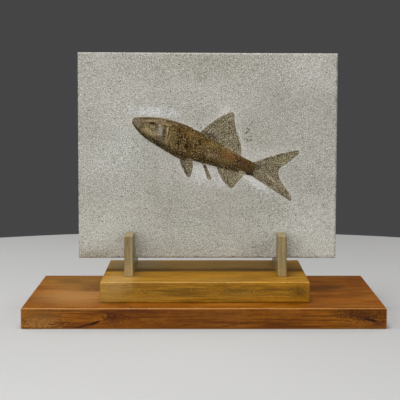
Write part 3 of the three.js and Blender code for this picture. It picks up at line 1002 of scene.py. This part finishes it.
# patches of colour on the body of the fish
fishMarks = {
    "crown": (-52, 136.2, 17, 1.3, 3, (0.29, 0.22, 0.135), 0.75, 3),
    "top line": (-56, 138.3, 18, 0.9, 1, (0.045, 0.032, 0.018), 0.75, 1.6),
    "brow": (-61, 134.6, 7.5, 0.8, -10, (0.085, 0.064, 0.038), 0.6, 2),
    "nostril": (-66, 134.6, 1.3, 0.8, 0, (0.03, 0.022, 0.012), 0.8, 1),
    "snout": (-69.5, 134, 4.5, 4, 0, (0.2, 0.165, 0.135), 0.7),
    "cheek": (-57, 127.5, 7, 5.2, 20, (0.22, 0.175, 0.095), 0.6, 3),
    "ochre": (-59.8, 128.4, 2.0, 5.6, -24, (0.28, 0.21, 0.1), 0.7, 2.6),
    "under eye": (-54.0, 124.2, 5.4, 1.9, -28, (0.38, 0.31, 0.16), 0.75, 2.6),
    "eye": (-53.1, 130.8, 3.4, 2.7, 0, (0.26, 0.235, 0.145), 0.9, 1),
    "eye rim": (-53.1, 131.1, 3.6, 2.8, 0, (0.055, 0.04, 0.018), 0.5, 1.6, 0.45, 0.3),
    # painted shadow under the overhanging rim of the orbit, along the top of the eye
    "shadow over eye": (-53.4, 133.2, 4.2, 1.2, -11, (0.022, 0.014, 0.004), 0.95, 1.4),
    "eye corner": (-49.6, 130.6, 1.2, 1.8, 0, (0.04, 0.026, 0.01), 0.8, 1.4),
    "pupil": (-53.4, 131.2, 1.2, 1.0, 0, (0.11, 0.095, 0.055), 0.7, 1),
    "lilac": (-45.9, 126.0, 2.9, 4.3, -8, (0.33, 0.295, 0.27), 0.85, 4),
    "lilac foot": (-46.8, 122.9, 1.6, 1.4, 0, (0.38, 0.33, 0.29), 0.7),
    "cheek shade": (-42.0, 122.6, 1.9, 7, -8, (0.05, 0.035, 0.018), 0.9),
    "jowl": (-46, 117.4, 5.5, 2.6, -24, (0.11, 0.085, 0.055), 0.7, 3),
    "nape": (-34, 133.6, 9, 2.0, -16, (0.13, 0.095, 0.045), 0.6),
    "ridge": (-29.5, 134.4, 8.5, 1.3, -18, (0.125, 0.092, 0.078), 0.85, 2.4),
    "cheek streak": (-39.5, 132.0, 4.6, 0.8, -6, (0.33, 0.25, 0.12), 0.85, 1.6),
    "preopercle": (-38.8, 125.4, 0.65, 3.4, -2, (0.62, 0.46, 0.25), 1, 1.2),
    "preopercle foot": (-40.3, 117.8, 0.75, 5.4, -14, (0.3, 0.22, 0.11), 0.9, 1),
    "second ridge": (-37.2, 120.0, 0.7, 7.2, -20, (0.31, 0.23, 0.115), 0.85, 1.8),
    "third ridge": (-37.2, 112.6, 3.4, 0.7, -8, (0.28, 0.205, 0.11), 0.8, 1.4),
    "ridge shade": (-37.6, 123, 0.8, 5.5, -12, (0.045, 0.026, 0.008), 0.8, 1),
    "opercle": (-32.8, 120, 3.2, 7.0, -8, (0.15, 0.11, 0.045), 0.7, 3),
    "under opercle": (-35, 108.6, 4, 2.2, -26, (0.15, 0.115, 0.06), 0.6, 5),
    "gill shadow": (-26.2, 117, 3.4, 14, 3, (0.022, 0.012, 0.002), 0.9, 2),
    "gill flecks": (-23.2, 109.5, 2.6, 3.6, 20, (0.3, 0.22, 0.1), 0.6, 5),
    "throat": (-41, 109.4, 12, 3.2, -32, (0.06, 0.042, 0.02), 0.6, 3),
    "orange back": (-13, 121.5, 10, 4.4, -24, (0.15, 0.078, 0.022), 0.6, 5),
    "front side": (-12, 111, 11, 7, -24, (0.065, 0.034, 0.008), 0.65, 4),
    "side glow": (-3, 107, 5.5, 3.2, -20, (0.17, 0.115, 0.05), 0.6, 5),
    "belly shade": (-0.5, 99.2, 9, 2.6, -16, (0.028, 0.017, 0.005), 0.85, 3),
    # painted shade along the rear of the belly's margin
    "belly rear": (20, 90.8, 13, 2.4, -17, (0.012, 0.007, 0.003), 0.85, 2),
    "belly fringe": (-15, 97.4, 4.5, 1.3, -6, (0.22, 0.155, 0.11), 0.7, 3),
    "rear glow": (16.5, 97, 6, 2.4, -20, (0.18, 0.13, 0.05), 0.6, 5),
    "red front": (-24, 124, 2.6, 4.5, 8, (0.085, 0.03, 0.004), 0.7, 4),
    "orange fleck": (-15, 120.6, 3.2, 2.6, 0, (0.27, 0.15, 0.055), 0.5, 6),
    "dark middle": (-7.6, 115, 2.8, 3.2, 0, (0.026, 0.016, 0.002), 0.85, 4),
    "dark back": (-2, 117.5, 5, 1.6, -30, (0.05, 0.028, 0.006), 0.7, 4),
    "olive": (13, 111.5, 9, 3.4, -30, (0.115, 0.088, 0.018), 0.8, 4),
    "pale flecks": (4.6, 111.4, 4.6, 2.0, -14, (0.26, 0.2, 0.08), 0.5, 7),
    "grey tan": (5.4, 102.4, 5.4, 3.4, -10, (0.25, 0.19, 0.11), 0.75, 3.5),
    "red": (20.5, 101.6, 9, 4.2, -27, (0.19, 0.083, 0.026), 0.7, 4),
    "rear side": (16, 95.5, 9, 3.2, -20, (0.1, 0.066, 0.026), 0.5, 4),
    "stem": (38.5, 90.2, 12, 6.2, -24, (0.048, 0.022, 0.008), 0.95, 2.4),
    "stem fleck": (46.4, 91.0, 3.6, 1.1, -10, (0.12, 0.1, 0.014), 0.8),
    "stem foot": (43.2, 84.2, 4.2, 1.9, -22, (0.022, 0.015, 0.009), 0.9),
    "seam": (24.5, 105.6, 9, 0.8, -28, (0.36, 0.25, 0.13), 0.7, 3),
    "pelvic root": (-3.2, 94, 2.4, 4.5, 20, (0.13, 0.05, 0.022), 0.8, 2),
}

# patches of colour on its fins
finMarks = {
    "pectoral": (-19, 90, 4.5, 9, 12, (0.085, 0.066, 0.042), 0.6, 3),
    "pectoral root": (-20.5, 96.5, 5, 3, 0, (0.14, 0.085, 0.055), 0.6, 4),
    "dorsal root": (1.5, 122.0, 11, 4.6, -32, (0.042, 0.024, 0.014), 0.95, 4),
    "dorsal blush": (4, 123.5, 7, 3.2, -20, (0.25, 0.19, 0.16), 0.4, 9),
    "dorsal front": (8.4, 133.4, 2.0, 15, -56, (0.075, 0.072, 0.05), 0.85, 3),
    "dorsal tip": (24, 140.5, 3.6, 4, 0, (0.26, 0.23, 0.2), 0.65, 4),
    "dorsal field": (22, 117, 7, 3.2, -24, (0.16, 0.13, 0.085), 0.6, 5),
    "dorsal seam": (25.2, 107.2, 9, 0.9, -28, (0.4, 0.29, 0.16), 0.75, 3),
    "dorsal rear": (29, 108, 4, 9, 20, (0.15, 0.125, 0.07), 0.5, 4),
    "tail root": (50, 90, 9, 7, 0, (0.085, 0.065, 0.035), 0.7, 3),
    "upper lobe": (68, 99.5, 20, 2.6, 22, (0.13, 0.11, 0.055), 0.5, 4),
    "upper edge": (66, 100.6, 19, 1.3, 15, (0.05, 0.042, 0.034), 0.85, 2.4),
    "upper green": (75.5, 97.2, 5, 2.6, 20, (0.27, 0.25, 0.09), 0.7, 4),
    "lower lobe": (66, 76.5, 14, 1.2, -39, (0.46, 0.38, 0.27), 0.8, 3),
    "lower shade": (64, 74.6, 14, 1.1, -37, (0.11, 0.08, 0.05), 0.75, 3),
    "lower edge": (54, 79, 12, 1.8, -38, (0.085, 0.064, 0.042), 0.75, 3),
    "lower tip": (80.6, 60.4, 2.6, 2.6, 0, (0.36, 0.27, 0.22), 0.8, 3),
    "lower end": (81, 58.4, 2.6, 1.0, 20, (0.13, 0.075, 0.06), 0.8, 2),
    "pelvic lobe": (1.2, 82.5, 2.4, 6, 20, (0.11, 0.1, 0.06), 0.8, 3),
    "pectoral edge": (-22.6, 90, 1.4, 9, 24, (0.024, 0.018, 0.012), 0.9, 2),
    "pectoral tip": (-17.6, 84, 2.4, 4.5, 10, (0.055, 0.046, 0.036), 0.8, 3),
    "anal edge": (15.4, 80.5, 2.0, 13, 33, (0.065, 0.05, 0.03), 0.8, 3),
    "anal end": (33.5, 83.6, 4, 3, -15, (0.36, 0.33, 0.24), 0.7, 3),
    "anal rear": (30.5, 80, 3.2, 7, -40, (0.3, 0.27, 0.17), 0.6, 4),
}

# stains and pale films that lie over the grain of both
fishStains = {
    "dark spot": (-20.4, 110.6, 1.7, 2.8, 6, (0.008, 0.004, 0.001), 0.85, 1.2),
    "dorsal foot": (0.5, 122.6, 8, 2.4, -34, (0.03, 0.018, 0.01), 0.5, 3),
    "pelvic spot": (-1.8, 90.4, 1.3, 1.8, 20, (0.01, 0.004, 0.003), 0.85, 1.2),
    "pectoral line": (-22.6, 90, 1.0, 8, 24, (0.03, 0.022, 0.014), 0.5, 2),
    "root stain": (48.6, 91.2, 4.6, 2.2, -12, (0.04, 0.032, 0.008), 0.55, 3),
    "belly film": (-16.2, 97.2, 3.6, 1.5, -10, (0.34, 0.26, 0.19), 0.5, 2),
    "anal film": (34.0, 84.2, 3.4, 2.2, -20, (0.4, 0.35, 0.25), 0.6, 3),
}


fossilLook = {
    "grains": {
        "fine": (0.82, 1),
        "coarse": (1.3, 1, 0.5, 3.0),
        "clump": (2.2, 2, 0.5, 7.0),
        "blotch": (6, 3, 0.6, 9.0),
        "calm": (7, 2, 0.5, 61.0),
    },
    # each ground runs between two colours
    "skin": ((0.05, 0.027, 0.005), (0.115, 0.066, 0.015)),
    "scalp": ((0.125, 0.095, 0.05), (0.18, 0.14, 0.08)),
    "film": ((0.13, 0.105, 0.048), (0.195, 0.165, 0.093)),
    "ray": (0.09, 0.068, 0.026),
    "skinFlecks": [
        # painted shade along the belly's margin, where the rounded body turns away from the light above
        ("edge", 0.27, 0.09, 0.95, (0.015, 0.009, 0.003)),
        ("edge", 0.88, 0.97, 0.6, (0.04, 0.027, 0.012)),
        ("clump", 0.48, 0.36, 0.5, (0.02, 0.012, 0.002), "strong"),
        ("clump", 0.55, 0.66, 0.28, (0.24, 0.16, 0.06), "strong"),
        ("coarse", 0.5, 0.36, 0.5, (0.016, 0.01, 0.003), "strong"),
        ("coarse", 0.56, 0.7, 0.3, (0.32, 0.225, 0.1), "strong"),
        ("fine", 0.47, 0.35, 0.82, (0.008, 0.004, 0.001), "sharp"),
        ("fine", 0.54, 0.66, 0.56, (0.42, 0.31, 0.14), "sharp"),
    ],
    "filmFlecks": [
        ("streak", 0.48, 0.25, 0.7, (0.04, 0.028, 0.012)),
        ("streak", 0.56, 0.76, 0.5, (0.4, 0.34, 0.22)),
        ("coarse", 0.5, 0.36, 0.4, (0.04, 0.03, 0.011)),
        ("coarse", 0.53, 0.66, 0.3, (0.42, 0.38, 0.27)),
        ("fine", 0.46, 0.33, 0.9, (0.022, 0.016, 0.006)),
        ("fine", 0.53, 0.64, 0.7, (0.5, 0.45, 0.33)),
        ("clump", 0.45, 0.58, 0.25, (0.38, 0.36, 0.29), "margin"),
    ],
}


def fossilFinish():
    f = Finish("fossil", Roughness=0.7, Specular_IOR_Level=0.05)
    maps = f.grains(fossilLook["grains"])
    for name in ("body", "ray", "streak", "across", "rim", "bone", "stem"):
        maps[name] = f.attribute(name)
    blotch, clump, bone, stem = [maps[name] for name in ("blotch", "clump", "bone", "stem")]
    calm = f.step(maps["calm"], 0.42, 0.58)
    maps["edge"] = maps["across"] + (clump - 0.5) * 0.16
    maps["strong"] = (1 - bone * 0.6) * (1.25 - calm * 0.85) * (1 - stem * 0.6)
    maps["sharp"] = (1 - bone * 0.25) * (1.15 - calm * 0.4) * (1 - stem * 0.45)
    maps["margin"] = 1 - maps["rim"]

    # the body's skin, paler on the bones of the head
    skin = f.mix(f.step(blotch, 0.4, 0.6), *fossilLook["skin"])
    scalp = f.mix(f.step(blotch, 0.38, 0.62), *fossilLook["scalp"])
    skin = f.dabbed(f.mix(bone, skin, scalp), onSlab(fishMarks), clump)
    skin = f.flecked(skin, fossilLook["skinFlecks"], maps)

    # the film of its fins
    film = f.mix(f.step(blotch, 0.38, 0.62), *fossilLook["film"])
    film = f.dabbed(film, onSlab(finMarks), clump)
    film = f.mix(maps["ray"] * 0.3, film, fossilLook["ray"])
    film = f.flecked(film, fossilLook["filmFlecks"], maps)

    colour = f.dabbed(f.mix(maps["body"], film, skin), onSlab(fishStains), clump)
    f.feed("Base Color", colour)
    f.feed("Roughness", 0.62 + maps["coarse"] * 0.3)
    f.feed("Normal", f.bump(maps["fine"] * 0.6 + maps["coarse"] * 0.4, 1.1))
    return f


def fishGrid():
    low = outlinePoints.min(0) - 2
    high = outlinePoints.max(0) + 2
    places = [np.arange(start, end, fish["step"]) for start, end in zip(low, high)]
    x, z = np.meshgrid(*places, indexing="ij")
    return x.ravel(), z.ravel(), x.shape


def brokenDepths(points):
    # how far inside each outline the points are, once its edge is broken
    x, _, z = points.T
    depths = {name: depthInside(outline, x, z) for name, outline in outlines.items()}
    bites = np.clip(noiseAt(points, 1.7, 25.0) + 0.3, 0, 1)
    jagged = fish["jagged"]
    for name in depths:
        depths[name] -= bites * jagged.get(name, jagged["others"])
    frayed = fish["frayed"]
    crumbled = np.exp(-(((x - frayed["at"]) / frayed["reach"]) ** 2)) * (z > frayed["above"])
    depths["body"] -= frayed["depth"] * crumbled * np.clip(noiseAt(points, 2.6, 33.0) + 0.1, 0, 1)
    return depths


def bodyPlaces(x, z):
    # along the body from its snout and across it from belly to back, in millimetres and in shares
    turn = math.radians(fish["slope"])
    turned = np.array([[math.cos(turn), math.sin(turn)], [-math.sin(turn), math.cos(turn)]])
    along, across = (np.column_stack([x, z]) @ turned).T
    back = smoothCurve(fish["back"], 200) @ turned
    belly = smoothCurve(fish["belly"], 200) @ turned
    top = np.interp(along, back[:, 0], back[:, 1])
    bottom = np.interp(along, belly[:, 0], belly[:, 1])
    alongShare = np.clip((along - back[0, 0]) / (back[-1, 0] - back[0, 0]), 0, 1)
    acrossShare = np.clip((across - bottom) / np.maximum(top - bottom, 1), 0, 1)
    return along, across, alongShare, acrossShare


def bodyRelief(x, z, depth, rough, lumps):
    # height of the body above the stone, and the share of the way across it
    along, across, alongShare, acrossShare = bodyPlaces(x, z)
    gill, groove, eye, socket, scales = [fish[key] for key in ("gill", "groove", "eye", "socket", "scales")]
    start, span = fish["swell"]
    swell = np.sin(math.pi * (start + span * alongShare))
    dome = np.sqrt(np.clip(1 - (2 * acrossShare - 1) ** 2, 0, 1))
    fromGill = x - (gill["x"] - gill["bow"] * (z - gill["z"]) ** 2)
    cover = 1 - smoothStep(fromGill, 0, gill["width"])
    head = 1 - smoothStep(fromGill, *gill["headFade"])
    fromEye = np.hypot(x - eye["centre"][0], z - eye["centre"][1])
    orbit = eye["rimRise"] * np.exp(-(((fromEye - eye["radius"]) / eye["rimWidth"]) ** 2))
    orbit -= socket["depth"] * (1 - smoothStep(fromEye, *socket["fade"]))
    rise = fish["rim"] + dome * (fish["bodyRise"] * swell + gill["step"] * cover + orbit * head)
    for line, halfWidth, height in headLines:
        rise += height * np.exp(-((distanceTo(smoothCurve(line, 20), x, z) / halfWidth) ** 2))
    shifted = np.where(np.floor(across / scales["height"]) % 2 > 0, math.pi, 0)
    scaly = np.cos(along * math.pi / scales["length"] + shifted)
    scaly = scaly * np.cos(across * math.pi / scales["height"]) ** 2
    texture = fish["rough"]["rise"] * rough * (1 - 0.4 * head)
    texture += fish["lumps"]["rise"] * lumps * (1 - 0.5 * head)
    texture += scales["rise"] * scaly * (1 - head)
    texture -= groove["depth"] * np.exp(-(((fromGill - groove["behind"]) / groove["halfWidth"]) ** 2))
    return rise + texture * smoothStep(depth, 0, 2), acrossShare


def finRelief(x, z, depths):
    # height of the fins above the stone, nearness to their roots, and their rays and streaks
    rise, root, ray = [np.zeros(x.size) for _ in range(3)]
    streak = np.full(x.size, 0.5)
    rows = 40
    for name, fin in fins.items():
        columns = fin["rays"] * 10
        lattice = finLattice(fin, columns, rows)
        tree = kdtree.KDTree(columns * rows)
        for number, (px, pz) in enumerate(lattice.reshape(-1, 2)):
            tree.insert((px, 0, pz), number)
        tree.balance()
        near = np.flatnonzero(depths[name] > -fish["skirt"] - 0.1)
        found = np.array([tree.find((x[k], 0, z[k]))[1] for k in near])
        alongFin = (found // rows) / (columns - 1)
        outward = (found % rows) / (rows - 1)
        wave = 0.5 + 0.5 * np.cos(2 * math.pi * fin["rays"] * alongFin)
        height = fish["finRise"] + fish["rayRise"] * wave * (1 - 0.4 * outward)
        rise[near] = np.maximum(rise[near], height)
        ray[near] = np.maximum(ray[near], wave * (1 - 0.3 * outward))
        root[near] = np.maximum(root[near], 1 - smoothStep(outward, 0.1, 0.3))
        length = np.hypot(*(lattice[:, -1] - lattice[:, 0]).mean(0))
        width = np.hypot(*np.diff(lattice[:, rows // 2], axis=0).T).sum()
        reach = np.column_stack([alongFin * width / 0.8, outward * length / 5, np.zeros(near.size)])
        streak[near] = 0.5 + 0.75 * noiseAt(reach, 1.0, 40.0)
    return rise, root, ray, streak


def closedRelief(kept):
    # the grid's cells that touch a kept point, closed with the same cells behind and a wall round them:
    # which points are used, and the faces
    cells = kept[:-1, :-1] | kept[1:, :-1] | kept[1:, 1:] | kept[:-1, 1:]
    loops = gridFaces(np.arange(kept.size).reshape(kept.shape))[cells.ravel()]
    used = np.zeros(kept.size, bool)
    used[loops] = True
    count = int(used.sum())
    order = np.cumsum(used) - 1
    faces = []
    openEdges = {}
    for loop in order[loops].tolist():
        faces.append(loop)
        faces.append([count + corner for corner in reversed(loop)])
        for a, b in zip(loop, loop[1:] + loop[:1]):
            if (b, a) in openEdges:
                del openEdges[b, a]
            else:
                openEdges[a, b] = True
    faces += [(b, a, count + a, count + b) for a, b in openEdges]
    return used, faces


def makeFish(finish):
    x, z, shape = fishGrid()
    points = np.column_stack([x, np.zeros(x.size), z])
    depths = brokenDepths(points)
    depth = np.max(list(depths.values()), axis=0)
    rough = noiseAt(points, fish["rough"]["size"], 5.0)
    lumps = noiseAt(points, fish["lumps"]["size"], 15.0)
    body, across = bodyRelief(x, z, depths["body"], rough, lumps)
    film, root, ray, streak = finRelief(x, z, depths)
    edge = smoothStep(depth, -0.5, 0.5)
    bodyEdge = smoothStep(depths["body"], -0.5, 0.6)
    flat = stoneRelief(points) * fish["stoneShare"] + film * edge - fish["buried"] * (1 - edge)
    raised = np.maximum(flat, body * bodyEdge - fish["buried"] * (1 - bodyEdge))
    values = {
        "body": smoothStep(depths["body"], -0.3, 0.5) * (1 - smoothStep(x + 2 * lumps, 44, 49)),
        "ray": ray,
        "streak": streak,
        "across": across,
        "rim": np.maximum(smoothStep(depth, 0, 2), root),
        "bone": 1 - smoothStep(x + 3 * lumps, -44, -32),
        "stem": smoothStep(x + 3 * lumps, 24, 36),
    }
    used, faces = closedRelief((depth > -fish["skirt"]).reshape(shape))
    front = np.column_stack([x, -raised, z])[used]
    back = np.column_stack([x, np.full(x.size, fish["backDepth"]), z])[used]
    points = np.vstack([front, back]) + (slabMiddle, slabFront, slabLow[2])
    doubled = {key: np.tile(numbers[used], 2) for key, numbers in values.items()}
    addPiece("fish", "fossil_fish", points, faces, finish, doubled)


makeFish(fossilFinish())


def makeFloor():
    radius = surroundings["floorRadius"] * mm
    work = bmesh.new()
    bmesh.ops.create_circle(work, cap_ends=True, segments=180, radius=radius)
    mesh = bpy.data.meshes.new("floor")
    work.to_mesh(mesh)
    work.free()
    f = Finish("floor", Roughness=0.8, Base_Color=(*surroundings["floor"], 1))
    mesh.materials.append(f.material)
    addObject("floor", mesh)
    print("floor placed")


makeFloor()
